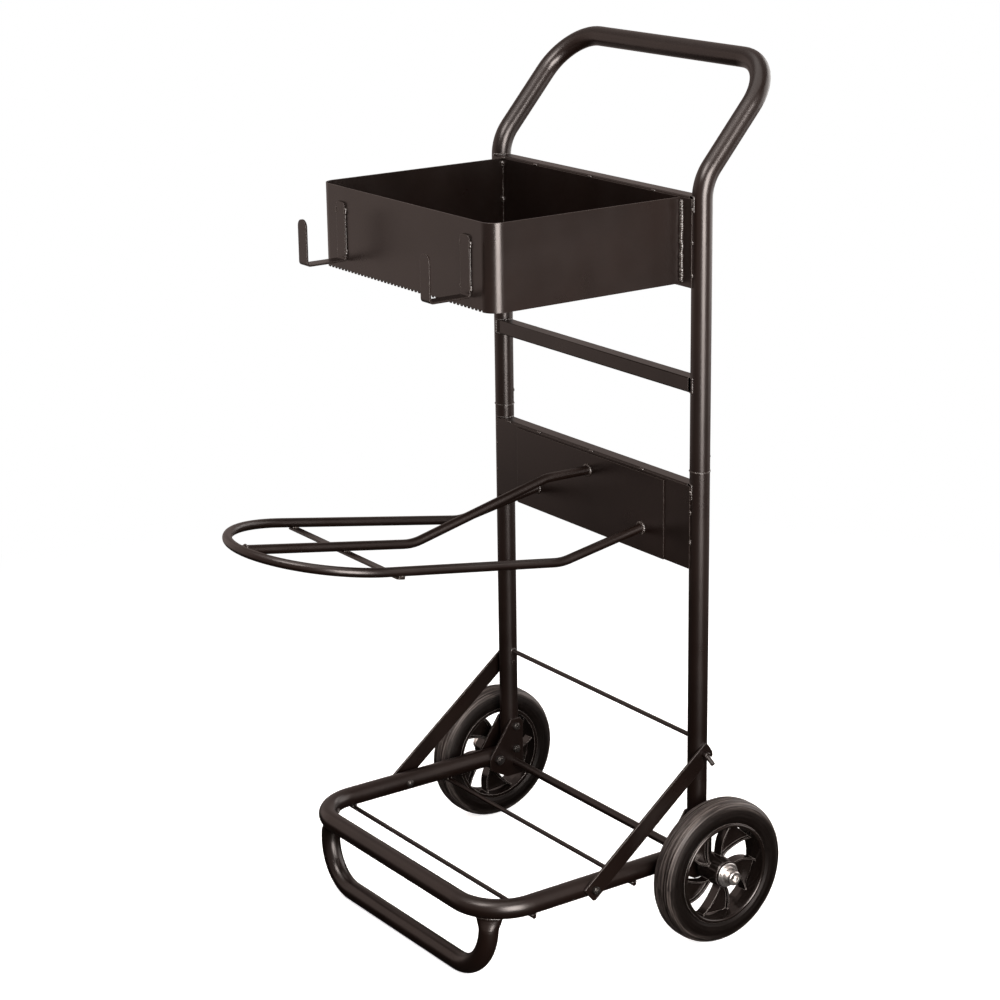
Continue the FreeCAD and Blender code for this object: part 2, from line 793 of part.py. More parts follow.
def axle_washers():
    """A wide and a narrow washer outside each wheel."""
    start = wheel_x + hub_outer_end + 1.4
    wide = ring_x(start, start + 2.0, 17.0, axle_radius + axle_clearance)
    outer_rim = [edge for edge in wide.Edges
                 if edge.Closed and edge.Vertexes[0].X > start + 1 and edge.Length > 100]
    wide = wide.makeChamfer(0.8, outer_rim)
    narrow = ring_x(start + 2.0, start + 4.5, 12.0, axle_radius + axle_clearance)
    return both_sides([wide, narrow])


def axle_bolts():
    """Socket-head bolts that hold the wheels on: a neck, a wider rounded head and a hexagonal socket."""
    start = wheel_x + hub_outer_end + 5.9
    shank = cylinder_x(axle_half_length - 24, start, 0, wheel_radius, m8_radius)
    neck = cylinder_x(start, start + 6.0, 0, wheel_radius, axle_bolt_neck_radius)
    head = cylinder_x(start + 5.0, start + 12.0, 0, wheel_radius, axle_bolt_head_radius)
    head = fillet_edges(head, 1.4, lambda edge: edge.Closed)
    bolt = joined([shank, neck, head])
    bolt = bolt.cut(hexagon_x(start + 6.0, start + 13.0, 0, wheel_radius, axle_bolt_socket))
    return both_sides([bolt])


def revolved_about_axle(profile):
    """A ring from (x, radius) points, about the right wheel's axis."""
    points = [Vector(wheel_x + x, 0, wheel_radius + radius) for x, radius in profile]
    face = Part.Face(Part.makePolygon(points + points[:1]))
    return face.revolve(Vector(0, 0, wheel_radius), Vector(1, 0, 0), 360)


def tyre():
    """A solid rubber tyre with shallow grooves round its tread."""
    half = tyre_half_width
    profile = [
        (-rim_half_width + 3, rim_seat_radius),
        (rim_half_width - 3, rim_seat_radius),
        (rim_half_width - 3, rim_lip_radius),
        (half - 3.5, rim_lip_radius),
        (half - 0.9, rim_lip_radius + 4.5),
        (half, rim_lip_radius + 10),
        (half - 0.6, rim_lip_radius + 15),
        (half - 2.8, wheel_radius - 6.5),
        (half - 6.0, wheel_radius - 3.0),
        (half - 10.0, wheel_radius - 0.9),
        (half - 15.0, wheel_radius),
    ]
    profile = profile + [(-x, radius) for x, radius in reversed(profile[2:])]
    ring = revolved_about_axle(profile)
    for x in (-11.5, -4.0, 4.0, 11.5):
        depth = 1.0 if abs(x) < 8 else 2.2
        groove = [(x - 0.9, wheel_radius + 1), (x + 0.9, wheel_radius + 1),
                  (x + 0.5, wheel_radius - depth), (x - 0.5, wheel_radius - depth)]
        ring = ring.cut(revolved_about_axle(groove))
    return ring


def wheel_point(radius, angle_deg, x):
    angle = math.radians(angle_deg)
    return Vector(wheel_x + x, radius * math.cos(angle), wheel_radius + radius * math.sin(angle))


def spoke_line(index, edge, shift, x):
    """A swept line along a spoke's edge (-1 or 1), moved sideways by a shift."""
    points = []
    for radius, sweep, half_width in spoke_shape:
        angle = spoke_first_deg + index * 360 / spoke_count - sweep + edge * half_width
        points.append(wheel_point(radius, angle + math.degrees(shift / radius), x))
    curve = Part.BSplineCurve()
    curve.interpolate(points)
    return curve.toShape(), points[0], points[-1]


def curved_strip(index, x0, x1, first, second):
    """A swept plate between two spoke lines, each given as (edge, shift)."""
    line_a, start_a, end_a = spoke_line(index, first[0], first[1], x0)
    line_b, start_b, end_b = spoke_line(index, second[0], second[1], x0)
    edges = [
        line_a,
        Part.LineSegment(end_a, end_b).toShape(),
        line_b,
        Part.LineSegment(start_b, start_a).toShape(),
    ]
    return Part.Face(Part.Wire(Part.__sortEdges__(edges))).extrude(Vector(x1 - x0, 0, 0))


def wheel_centre():
    """The moulded wheel: hub, five swept channel spokes and the rim, as one solid."""
    rim = revolved_about_axle([
        (-rim_half_width, rim_inner_radius + 1.5),
        (-rim_half_width, rim_lip_radius),
        (-rim_half_width + 3, rim_lip_radius),
        (-rim_half_width + 3, rim_seat_radius),
        (rim_half_width - 3, rim_seat_radius),
        (rim_half_width - 3, rim_lip_radius),
        (rim_half_width, rim_lip_radius),
        (rim_half_width, rim_inner_radius + 1.5),
        (4.0, rim_inner_radius),
        (-4.0, rim_inner_radius),
    ])
    hub = revolved_about_axle([
        (hub_inner_end, 9.0),
        (hub_inner_end, hub_radius - 1.5),
        (hub_inner_end + 2, hub_radius - 0.5),
        (-4, hub_radius),
        (4, hub_radius),
        (hub_outer_end - 2, hub_radius - 0.5),
        (hub_outer_end, hub_radius - 1.5),
        (hub_outer_end, 9.0),
    ])
    pieces = [rim, hub]
    for index in range(spoke_count):
        pieces.append(curved_strip(index, web_back, web_front, (-1, 0), (1, 0)))
        pieces.append(curved_strip(index, rib_back, rib_front, (-1, 0), (-1, rib_thickness)))
        pieces.append(curved_strip(index, rib_back, rib_front, (1, -rib_thickness), (1, 0)))
    return joined(pieces)


def wheel_bushes():
    """Two flanged plastic bushes pressed into the hub's ends."""
    outer = ring_x(wheel_x + hub_outer_end - 14, wheel_x + hub_outer_end, 9.0, axle_radius + axle_clearance)
    outer_flange = ring_x(wheel_x + hub_outer_end, wheel_x + hub_outer_end + 1.2, 12.5,
                          axle_radius + axle_clearance)
    inner = ring_x(wheel_x + hub_inner_end, wheel_x + hub_inner_end + 14, 9.0, axle_radius + axle_clearance)
    inner_flange = ring_x(wheel_x + hub_inner_end - 1.2, wheel_x + hub_inner_end, 12.5,
                          axle_radius + axle_clearance)
    return Part.makeCompound([joined([outer, outer_flange]), joined([inner, inner_flange])])


def other_wheel(shape):
    """The same part turned half a turn about Z, for the left-hand wheel."""
    turned = shape.copy()
    turned.rotate(Vector(0, 0, 0), Vector(0, 0, 1), 180)
    return turned


# ---------------------------------------------------------------- the whole cart

def build():
    plate_back_y = -tube_radius
    nodes = {
        "upper_frame": upper_frame(),
        "middle_crossbar": square_rail(middle_rail_top_z),
        "plate_rail": square_rail(plate_rail_top_z),
        "tray_rail": square_rail(tray_rail_top_z),
        "hoop_back_plate": front_plate(plate_half_width, plate_back_y, plate_bottom_z, plate_top_z),
        "hoop_mount_plate": front_plate(mount_half_width, plate_back_y - sheet, plate_bottom_z, mount_top_z),
        "tray_back_plate": front_plate(plate_half_width, plate_back_y, tray_back_bottom_z, tray_top_z),
        "tray_shell": tray_shell(),
        "tray_floor": tray_floor(),
        "hoop_outer_tube": hoop_outer_tube(),
        "hoop_centre_tube": hoop_centre_tube(),
        "hoop_cross_strap": hoop_cross_strap(),
        "tie_rod": tie_rod(),
        "frame_bolts": frame_bolts(),
        "pivot_bolts": pivot_bolts(),
        "axle": axle(),
        "axle_spacers": axle_spacers(),
        "axle_washers": axle_washers(),
        "axle_bolts": axle_bolts(),
        "platform_frame": platform_frame(),
        "platform_front_rod": platform_rod(front_rod_y),
        "platform_middle_rod": platform_rod(middle_rod_y),
        "foot_loop": foot_loop(),
        "brace_bolts": brace_bolts(),
    }
    for name, side in (("left", -1), ("right", 1)):
        nodes["lower_upright_" + name] = lower_upright(side)
        nodes["hose_hook_" + name] = hose_hook(side)
        nodes["bracket_inner_" + name] = bracket(side, True)
        nodes["bracket_outer_" + name] = bracket(side, False)
        nodes["hook_pin_" + name] = hook_pin(side)
        nodes["brace_" + name] = brace(side)
        nodes["snap_button_" + name] = snap_button(side)
        nodes["snap_spring_" + name] = snap_spring(side)
    for name, shape in (("tyre", tyre()), ("wheel_centre", wheel_centre()), ("wheel_bushes", wheel_bushes())):
        nodes[name + "_right"] = shape
        nodes[name + "_left"] = other_wheel(shape)
    return nodes


def main():
    nodes = build()
    bounds = FreeCAD.BoundBox()
    for shape in nodes.values():
        bounds.add(shape.optimalBoundingBox(False, False))
    shift = Vector(0, -(bounds.YMin + bounds.YMax) / 2, 0)
    for name, shape in nodes.items():
        shape.translate(shift)
        shape.exportStep("parts/" + name + ".step")
        if not shape.isValid():
            print("not valid:", name)
    print("nodes", len(nodes), "shift along Y", round(shift.y, 4))
    print("size", round(bounds.XLength, 2), round(bounds.YLength, 2), round(bounds.ZLength, 2),
          "lowest", round(bounds.ZMin, 3))


main()
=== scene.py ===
import math
import random

import bpy
from mathutils import Matrix, Vector


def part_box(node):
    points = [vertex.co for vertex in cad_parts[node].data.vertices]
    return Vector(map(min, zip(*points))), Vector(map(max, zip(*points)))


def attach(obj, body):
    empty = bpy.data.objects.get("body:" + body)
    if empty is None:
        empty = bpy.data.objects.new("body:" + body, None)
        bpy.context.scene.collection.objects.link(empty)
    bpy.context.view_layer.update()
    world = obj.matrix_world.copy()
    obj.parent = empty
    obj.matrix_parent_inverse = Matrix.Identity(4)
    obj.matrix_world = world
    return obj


# Looks of the two-wheeled torch cart. Lengths are in metres, angles in degrees.

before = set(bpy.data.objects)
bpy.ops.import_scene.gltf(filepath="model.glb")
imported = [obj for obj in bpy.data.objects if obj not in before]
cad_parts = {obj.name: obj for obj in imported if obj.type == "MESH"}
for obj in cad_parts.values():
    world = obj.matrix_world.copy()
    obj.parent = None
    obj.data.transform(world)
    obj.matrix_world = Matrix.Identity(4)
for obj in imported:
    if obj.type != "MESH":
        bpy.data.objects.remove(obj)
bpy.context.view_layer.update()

# Camera
CAMERA_POSITION = Vector((2.7230, -1.8497, 1.6029))
CAMERA_AZIMUTH = 55.06
CAMERA_PITCH = 16.90
CAMERA_ROLL = -0.82
CAMERA_LENS_MM = 92.47
CAMERA_SENSOR_MM = 36.0

# Studio
FLOOR_SIZE = 90.0
STUDIO_TARGET = Vector((0.0, 0.05, 0.60))
ROOM_COLOUR = (1.0, 0.82, 0.76, 1.0)
LIGHT_COLOUR = (1.0, 0.985, 0.965)
WARM_LIGHT_COLOUR = (1.0, 0.82, 0.75)
ROOM_LEVEL = 0.36
ROOM_FLOOR_LEVEL = 0.03
BACKDROP_LEVEL = 0.07
BACKDROP_AZIMUTH = -124.0
FLOOR_LIFT = 0.56
MIRRORED_FLOOR_COLOUR = (0.012, 0.010, 0.009, 1.0)
MIRRORED_FLOOR_GLOW = 0.37
MIRRORED_FADE_START = 1.1
MIRRORED_FADE_END = 2.2
FLOOR_FADE_START = 0.55
FLOOR_FADE_END = 1.90

# Softboxes: name, azimuth, distance, height, width, tall, level, colour.
# Azimuth 0 is in front and 90 on the +X side.
SOFTBOXES = (
    ("overhead_softbox", 0.0, 0.6, 3.2, 3.2, 3.2, 1.5, LIGHT_COLOUR),
    ("right_softbox", 80.0, 2.5, 1.15, 1.40, 2.1, 18.5, LIGHT_COLOUR),
    ("front_top_softbox", 10.0, 2.0, 3.1, 1.2, 1.2, 12.0, LIGHT_COLOUR),
    ("front_left_softbox", -58.0, 2.2, 1.12, 2.6, 2.2, 0.35, WARM_LIGHT_COLOUR),
    ("back_right_softbox", 156.0, 2.8, 1.2, 1.3, 2.2, 2.2, LIGHT_COLOUR),
    ("back_softbox", 188.0, 3.0, 1.3, 1.8, 2.2, 2.4, LIGHT_COLOUR),
    ("right_fill_softbox", 122.0, 2.8, 1.2, 1.5, 2.2, 0.10, LIGHT_COLOUR),
)

# Colours of the finishes, in pairs that a noise blends
FILM_DARK = (0.0026, 0.0011, 0.0007)
FILM_LIGHT = (0.0050, 0.0024, 0.0017)
# The powder coat's pale edge colour is a painted highlight line.
FILM_EDGE_HIGHLIGHT = (0.040, 0.030, 0.026)
WELD_DARK = (0.010, 0.0068, 0.0055)
# The weld's pale fleck colour is painted glints.
WELD_GLINT = (0.075, 0.063, 0.057)
OXIDE_DARK = (0.030, 0.026, 0.024)
OXIDE_LIGHT = (0.060, 0.052, 0.048)
OXIDE_WORN = (0.30, 0.28, 0.26)
ZINC_DARK = (0.60, 0.565, 0.545)
ZINC_LIGHT = (0.80, 0.765, 0.74)
# Painted shade for the socket in the axle's end.
ZINC_SOCKET_SHADE = (0.03, 0.026, 0.024)
RUBBER_DARK = (0.0012, 0.0007, 0.0005)
RUBBER_LIGHT = (0.0030, 0.0018, 0.0014)
RUBBER_PALE_STREAK = (0.105, 0.086, 0.078)
PLASTIC_DARK = (0.0034, 0.0022, 0.0018)
PLASTIC_LIGHT = (0.0056, 0.0040, 0.0034)
# The plastic's pale edge colour is a painted highlight.
PLASTIC_EDGE_HIGHLIGHT = (0.13, 0.112, 0.104)
NYLON_DARK = (0.030, 0.027, 0.025)
NYLON_LIGHT = (0.046, 0.042, 0.039)
STRIP_DARK = (0.20, 0.22, 0.27)
STRIP_LIGHT = (0.36, 0.37, 0.40)
WARM_TINT = (1.0, 0.90, 0.865, 1.0)

# Weld beads
RIPPLE_PITCH = 0.0022
BEAD_STEP = 0.00055
BEAD_SIDES = 10

# Radii of the beads
TRAY_CORNER_BEAD = 0.0035
TRAY_LUMP = 0.0030
TRAY_INNER_SEAM = 0.0008
TRAY_FOOT_BEAD = 0.0018
TRAY_TOP_TACK = 0.0016
PLATE_END_TACK = 0.0019
HOOP_PLATE_TOP_TACK = 0.0015
HOOK_TOP_BEAD = 0.0024
HOOK_FOOT_BEAD = 0.0023
HOOK_SEAM = 0.0007
RAIL_BEAD = 0.0013
TIE_ROD_BEAD = 0.0012
SEAM_LIP = 0.0011
HOOP_ROOT_BEAD = 0.0024
HOOP_STRAP_BEAD = 0.0013
HOOP_NOSE_BEAD = 0.0013
FOOT_BEAD = 0.0015
ROD_BEAD = 0.0014

# Where the lumps and tacks are
TRAY_LUMP_HEIGHTS = (1.010, 0.960)
TRAY_PLATE_TACK_HEIGHTS = (0.961, 1.004, 0.918)
TRAY_PLATE_TOP_TACKS = (-0.196, -0.120, 0.004, 0.140)
HOOP_PLATE_TACK_HEIGHTS = (0.628, 0.600, 0.560)
HOOP_PLATE_TOP_TACKS = (-0.190, -0.118, 0.005, 0.117)

# Sizes that the frame's boxes don't give
SEAM_Z = 0.6565
TIE_ROD_RING_RADIUS = 0.0036
RIM_LIP_X = 0.2832
RIM_LIP_RADIUS = 0.0684
RIM_LIP_THICKNESS = 0.0027
RIM_LIP_STEPS = 120
RIM_LIP_SIDES = 16
HOOP_LEG_X = 0.1193
HOOP_LEG_ROOT_Z = 0.5560
HOOP_CENTRE_ROOT_Z = 0.6095
HOOP_RISE = 9.4
HOOP_BAR_RADIUS = 0.00635
PLATFORM_CORNER_RADIUS = 0.067
FOOT_LEG_X = 0.1975
FOOT_LEG_TOP_Y = -0.1112
FOOT_FLAT_HALF_LENGTH = 0.0175
FOOT_FLAT_HALF_WIDTH = 0.0096

SIDES = (-1, 1)
ACROSS = Vector((1, 0, 0))
BACK = Vector((0, 1, 0))
UP = Vector((0, 0, 1))


def box_centre(node):
    low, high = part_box(node)
    return (low + high) / 2


UPRIGHT_LOW, UPRIGHT_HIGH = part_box("lower_upright_right")
UPRIGHT_X = (UPRIGHT_LOW.x + UPRIGHT_HIGH.x) / 2
UPRIGHT_Y = (UPRIGHT_LOW.y + UPRIGHT_HIGH.y) / 2
TUBE_RADIUS = (UPRIGHT_HIGH.x - UPRIGHT_LOW.x) / 2
AXLE_CENTRE = box_centre("axle")
TYRE_LOW, TYRE_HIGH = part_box("tyre_right")
TYRE_RADIUS = (TYRE_HIGH.z - TYRE_LOW.z) / 2
TYRE_MIDDLE_X = (TYRE_LOW.x + TYRE_HIGH.x) / 2


# ---------------------------------------------------------------- materials

class Surface:
    """A material with one principled shader, and short helpers that build its node tree."""

    def __init__(self, name):
        self.material = bpy.data.materials.new(name)
        self.material.use_nodes = True
        self.tree = self.material.node_tree
        self.tree.nodes.clear()
        self.output = self.tree.nodes.new("ShaderNodeOutputMaterial")
        self.shader = self.tree.nodes.new("ShaderNodeBsdfPrincipled")
        self.link(self.shader.outputs["BSDF"], self.output.inputs["Surface"])
        self.place = self.tree.nodes.new("ShaderNodeTexCoord").outputs["Object"]

    def link(self, source, target):
        self.tree.links.new(source, target)

    def put(self, value, target):
        """Links a socket, or sets a plain value."""
        if isinstance(value, bpy.types.NodeSocket):
            self.link(value, target)
        else:
            target.default_value = value

    def set(self, **inputs):
        for name, value in inputs.items():
            self.put(value, self.shader.inputs[name.replace("_", " ")])

    def noise(self, scale, detail=3.0, roughness=0.5, vector=None):
        node = self.tree.nodes.new("ShaderNodeTexNoise")
        node.inputs["Scale"].default_value = scale
        node.inputs["Detail"].default_value = detail
        node.inputs["Roughness"].default_value = roughness
        self.link(vector or self.place, node.inputs["Vector"])
        return node.outputs["Fac"]

    def math(self, operation, first, second=0.0):
        node = self.tree.nodes.new("ShaderNodeMath")
        node.operation = operation
        self.put(first, node.inputs[0])
        self.put(second, node.inputs[1])
        return node.outputs["Value"]

    def spread(self, factor, low, high, start=0.3, end=0.7):
        """Maps the factor's start..end to low..high."""
        node = self.tree.nodes.new("ShaderNodeMapRange")
        node.interpolation_type = "SMOOTHSTEP"
        self.link(factor, node.inputs["Value"])
        node.inputs["From Min"].default_value = start
        node.inputs["From Max"].default_value = end
        node.inputs["To Min"].default_value = low
        node.inputs["To Max"].default_value = high
        return node.outputs["Result"]

    def blend(self, factor, first, second):
        """Mixes two colours."""
        node = self.tree.nodes.new("ShaderNodeMix")
        node.data_type = "RGBA"
        self.put(factor, node.inputs["Factor"])
        for value, socket in ((first, node.inputs[6]), (second, node.inputs[7])):
            self.put(value if isinstance(value, bpy.types.NodeSocket) else (*value, 1.0), socket)
        return node.outputs[2]

    def bump(self, height, strength, distance, normal=None):
        node = self.tree.nodes.new("ShaderNodeBump")
        node.inputs["Strength"].default_value = strength
        node.inputs["Distance"].default_value = distance
        self.link(height, node.inputs["Height"])
        if normal is not None:
            self.link(normal, node.inputs["Normal"])
        return node.outputs["Normal"]

    def rounded_edges(self, radius):
        """The normal with edges rounded off, and a factor that is 1 on the edges and 0 elsewhere."""
        bevel = self.tree.nodes.new("ShaderNodeBevel")
        bevel.samples = 6
        bevel.inputs["Radius"].default_value = radius
        geometry = self.tree.nodes.new("ShaderNodeNewGeometry")
        dot = self.tree.nodes.new("ShaderNodeVectorMath")
        dot.operation = "DOT_PRODUCT"
        self.link(bevel.outputs["Normal"], dot.inputs[0])
        self.link(geometry.outputs["Normal"], dot.inputs[1])
        return bevel.outputs["Normal"], self.spread(dot.outputs["Value"], 1.0, 0.0, 0.80, 0.985)

    def wheel_coordinates(self):
        """Distance from the axle line, and the angle round it."""
        split = self.tree.nodes.new("ShaderNodeSeparateXYZ")
        self.link(self.place, split.inputs["Vector"])
        back = self.math("SUBTRACT", split.outputs["Y"], AXLE_CENTRE.y)
        up = self.math("SUBTRACT", split.outputs["Z"], AXLE_CENTRE.z)
        square = self.math("ADD", self.math("MULTIPLY", back, back), self.math("MULTIPLY", up, up))
        return split.outputs["X"], self.math("SQRT", square), self.math("ARCTAN2", up, back)

    def round_grain(self, across_scale, round_scale):
        """A vector for noise that is drawn out into streaks round the axle."""
        along, distance, angle = self.wheel_coordinates()
        join = self.tree.nodes.new("ShaderNodeCombineXYZ")
        self.link(self.math("MULTIPLY", along, across_scale), join.inputs["X"])
        self.link(self.math("MULTIPLY", distance, across_scale), join.inputs["Y"])
        self.link(self.math("MULTIPLY", angle, round_scale), join.inputs["Z"])
        return join.outputs["Vector"]


def powder_coat():
    """Warm satin black: orange peel, slow changes of gloss, and paler edges, a painted highlight line where
    the film is also thinner.
    """
    coat = Surface("satin_powder_coat")
    edge_normal, edge = coat.rounded_edges(0.0011)
    cloud = coat.spread(coat.noise(7.0, 5.0, 0.6), 0.0, 1.0)
    film = coat.blend(cloud, FILM_DARK, FILM_LIGHT)
    # Painted highlight: a paler colour along the edges, standing in for light caught on them.
    edge_highlight = coat.math("MULTIPLY", edge, coat.spread(coat.noise(30.0, 3.0, 0.6), 0.55, 1.0, 0.35, 0.65))
    colour = coat.blend(edge_highlight, film, FILM_EDGE_HIGHLIGHT)
    gloss = coat.spread(coat.noise(16.0, 4.0, 0.55), 0.27, 0.33, 0.20, 0.80)
    smear = coat.spread(coat.noise(4.0, 3.0, 0.7), -0.01, 0.03, 0.30, 0.80)
    peel = coat.bump(coat.noise(620.0, 2.0), 0.08, 0.00022, edge_normal)
    grain = coat.bump(coat.noise(2800.0, 2.0), 0.04, 0.0001, peel)
    coat.set(Base_Color=colour, Roughness=coat.math("ADD", gloss, smear), Normal=grain)
    coat.set(Specular_Tint=WARM_TINT)
    return coat.material


def weld_coat():
    """The same black film over weld metal: glossier, with paler flecks painted in as glints."""
    coat = Surface("coated_weld")
    # Painted glints: paler flecks scattered over the weld.
    glint = coat.spread(coat.noise(520.0, 3.0, 0.6), 0.0, 1.0, 0.48, 0.66)
    colour = coat.blend(glint, WELD_DARK, WELD_GLINT)
    coat.set(Base_Color=colour, Roughness=coat.spread(coat.noise(300.0, 3.0), 0.15, 0.30))
    coat.set(Normal=coat.bump(coat.noise(700.0, 3.0, 0.6), 0.28, 0.0003))
    coat.set(Specular_Tint=(1.0, 0.93, 0.90, 1.0), Coat_Weight=0.5, Coat_Roughness=0.08)
    return coat.material


def black_fasteners():
    """Black oxide on steel, worn brighter on corners."""
    oxide = Surface("black_oxide")
    edge_normal, edge = oxide.rounded_edges(0.0005)
    mottle = oxide.spread(oxide.noise(240.0, 4.0, 0.6), 0.0, 1.0)
    film = oxide.blend(mottle, OXIDE_DARK, OXIDE_LIGHT)
    worn = oxide.math("MULTIPLY", edge, oxide.spread(oxide.noise(700.0, 3.0), 0.4, 1.0))
    oxide.set(Base_Color=oxide.blend(worn, film, OXIDE_WORN), Metallic=0.85)
    oxide.set(Roughness=oxide.spread(oxide.noise(420.0, 4.0), 0.28, 0.44))
    oxide.set(Normal=oxide.bump(oxide.noise(1500.0, 3.0), 0.12, 0.0001, edge_normal))
    return oxide.material


def zinc_plate():
    """Bright zinc: turned rings round the axle, cloudy passivation, and painted shade in the socket at the
    axle's end.
    """
    zinc = Surface("bright_zinc")
    edge_normal, _ = zinc.rounded_edges(0.0004)
    cloud = zinc.spread(zinc.noise(180.0, 4.0, 0.6), 0.0, 1.0)
    plate = zinc.blend(cloud, ZINC_DARK, ZINC_LIGHT)
    # Painted shade: a dark disc at the axle's centre stands in for shade in its socket.
    socket_shade = zinc.spread(zinc.wheel_coordinates()[1], 1.0, 0.0, 0.0026, 0.0038)
    zinc.set(Base_Color=zinc.blend(socket_shade, plate, ZINC_SOCKET_SHADE), Metallic=1.0)
    rings = zinc.noise(1.0, 3.0, 0.6, zinc.round_grain(4200.0, 1.2))
    zinc.set(Roughness=zinc.spread(rings, 0.22, 0.40))
    zinc.set(Normal=zinc.bump(rings, 0.45, 0.00012, edge_normal))
    return zinc.material


def tyre_rubber():
    """Solid rubber: pale streaks round the tread, darker toward the rim, with a parting line."""
    rubber = Surface("solid_rubber")
    edge_normal, _ = rubber.rounded_edges(0.0008)
    along, distance, _ = rubber.wheel_coordinates()
    streaks = rubber.noise(1.0, 5.0, 0.65, rubber.round_grain(520.0, 1.3))
    fine = rubber.noise(1.0, 4.0, 0.6, rubber.round_grain(1300.0, 7.0))
    tread = rubber.spread(distance, 0.0, 1.0, 0.86 * TYRE_RADIUS, 0.985 * TYRE_RADIUS)
    base = rubber.blend(rubber.spread(fine, 0.0, 1.0), RUBBER_DARK, RUBBER_LIGHT)
    broad = rubber.math("MULTIPLY", rubber.spread(streaks, 0.0, 0.8, 0.42, 0.64), tread)
    # Paler streaks round the tread, only in the band near its outer edge.
    pale_streaks = rubber.math("MULTIPLY", broad, rubber.spread(fine, 0.45, 1.0, 0.35, 0.60))
    rubber.set(Base_Color=rubber.blend(pale_streaks, base, RUBBER_PALE_STREAK))
    broad_gloss = rubber.spread(streaks, 0.36, 0.50)
    rubber.set(Roughness=rubber.math("ADD", broad_gloss, rubber.spread(fine, -0.03, 0.05)))
    rubber.set(Specular_IOR_Level=rubber.spread(tread, 0.14, 0.36, 0.0, 1.0))
    rubber.set(Specular_Tint=WARM_TINT)
    sideways = rubber.math("ABSOLUTE", along)
    from_middle = rubber.math("ABSOLUTE", rubber.math("SUBTRACT", sideways, TYRE_MIDDLE_X))
    parting = rubber.math("MULTIPLY", rubber.spread(from_middle, 1.0, 0.0, 0.0003, 0.0009), tread)
    seam = rubber.bump(parting, 0.5, 0.0004, edge_normal)
    ribs = rubber.bump(streaks, 0.30, 0.0009, seam)
    pores = rubber.bump(rubber.noise(1900.0, 3.0), 0.10, 0.00010, ribs)
    rubber.set(Normal=pores)
    return rubber.material


def wheel_plastic():
    """Glossy moulded black plastic with faint sink marks, and paler edges painted as highlight lines."""
    plastic = Surface("moulded_plastic")
    edge_normal, edge = plastic.rounded_edges(0.0013)
    flow = plastic.spread(plastic.noise(60.0, 4.0, 0.6), 0.0, 1.0)
    skin = plastic.blend(flow, PLASTIC_DARK, PLASTIC_LIGHT)
    # Painted highlight: edges mixed toward a pale colour, standing in for light caught on the rib edges.
    plastic.set(Base_Color=plastic.blend(edge, skin, PLASTIC_EDGE_HIGHLIGHT))
    plastic.set(Roughness=plastic.spread(plastic.noise(110.0, 4.0, 0.6), 0.11, 0.20))
    plastic.set(Specular_Tint=WARM_TINT)
    sink = plastic.bump(plastic.noise(60.0, 2.0), 0.07, 0.0008, edge_normal)
    plastic.set(Normal=plastic.bump(plastic.noise(1700.0, 2.0), 0.02, 0.0001, sink))
    return plastic.material


def nylon():
    """Plain dark moulded nylon, a little waxy."""
    waxy = Surface("moulded_nylon")
    edge_normal, _ = waxy.rounded_edges(0.0005)
    cloud = waxy.spread(waxy.noise(90.0, 4.0), 0.0, 1.0)
    waxy.set(Base_Color=waxy.blend(cloud, NYLON_DARK, NYLON_LIGHT))
    waxy.set(Roughness=waxy.spread(waxy.noise(300.0, 4.0), 0.42, 0.56))
    waxy.set(Normal=waxy.bump(waxy.noise(900.0, 3.0), 0.12, 0.0001, edge_normal))
    return waxy.material


def spring_steel():
    """Blued strip with a rolled grain."""
    strip = Surface("blued_spring_strip")
    stretch = strip.tree.nodes.new("ShaderNodeVectorMath")
    stretch.operation = "MULTIPLY"
    stretch.inputs[1].default_value = (2200.0, 60.0, 60.0)
    strip.link(strip.place, stretch.inputs[0])
    grain = strip.noise(1.0, 3.0, 0.6, stretch.outputs["Vector"])
    strip.set(Base_Color=strip.blend(strip.spread(grain, 0.0, 1.0), STRIP_DARK, STRIP_LIGHT))
    strip.set(Metallic=1.0, Roughness=strip.spread(grain, 0.25, 0.42))
    strip.set(Normal=strip.bump(grain, 0.2, 0.00005))
    return strip.material


FINISHES = {
    "powder_coat": powder_coat,
    "black_fasteners": black_fasteners,
    "zinc": zinc_plate,
    "tyre_rubber": tyre_rubber,
    "wheel_plastic": wheel_plastic,
    "nylon": nylon,
    "spring_steel": spring_steel,
}


def paint_frame_nodes():
    """Gives each CAD node the finish of its slot, which the imported material is named after."""
    finishes = {slot: make() for slot, make in FINISHES.items()}
    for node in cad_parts.values():
        slot = node.data.materials[0].name
        node.data.materials.clear()
        node.data.materials.append(finishes[slot])
    return finishes


# ---------------------------------------------------------------- weld beads

def evenly_spaced(points, closed):
    """Points at the bead's step along the polyline."""
    corners = list(points) + ([points[0]] if closed else [])
    placed = []
    for start, end in zip(corners, corners[1:]):
        count = max(1, round((end - start).length / BEAD_STEP))
        placed += [start.lerp(end, index / count) for index in range(count)]
    return placed if closed else placed + [corners[-1]]


def ripple_sizes(count, closed, draw):
    """A radius factor for each station: one ripple per pitch, uneven, and round ends on an open bead."""
    per_ripple = RIPPLE_PITCH / BEAD_STEP
    ripples = max(1, round(count / per_ripple))
    heights = [draw.uniform(0.84, 1.12) for _ in range(ripples + 1)]
    if closed:
        heights[-1] = heights[0]
    sizes = []
    for station in range(count):
        along = station * ripples / count
        index = int(along)
        part = along - index
        height = heights[index] * (1 - part) + heights[index + 1] * part
        sizes.append(height * (0.80 + 0.20 * math.sin(math.pi * part) ** 0.6))
    return sizes


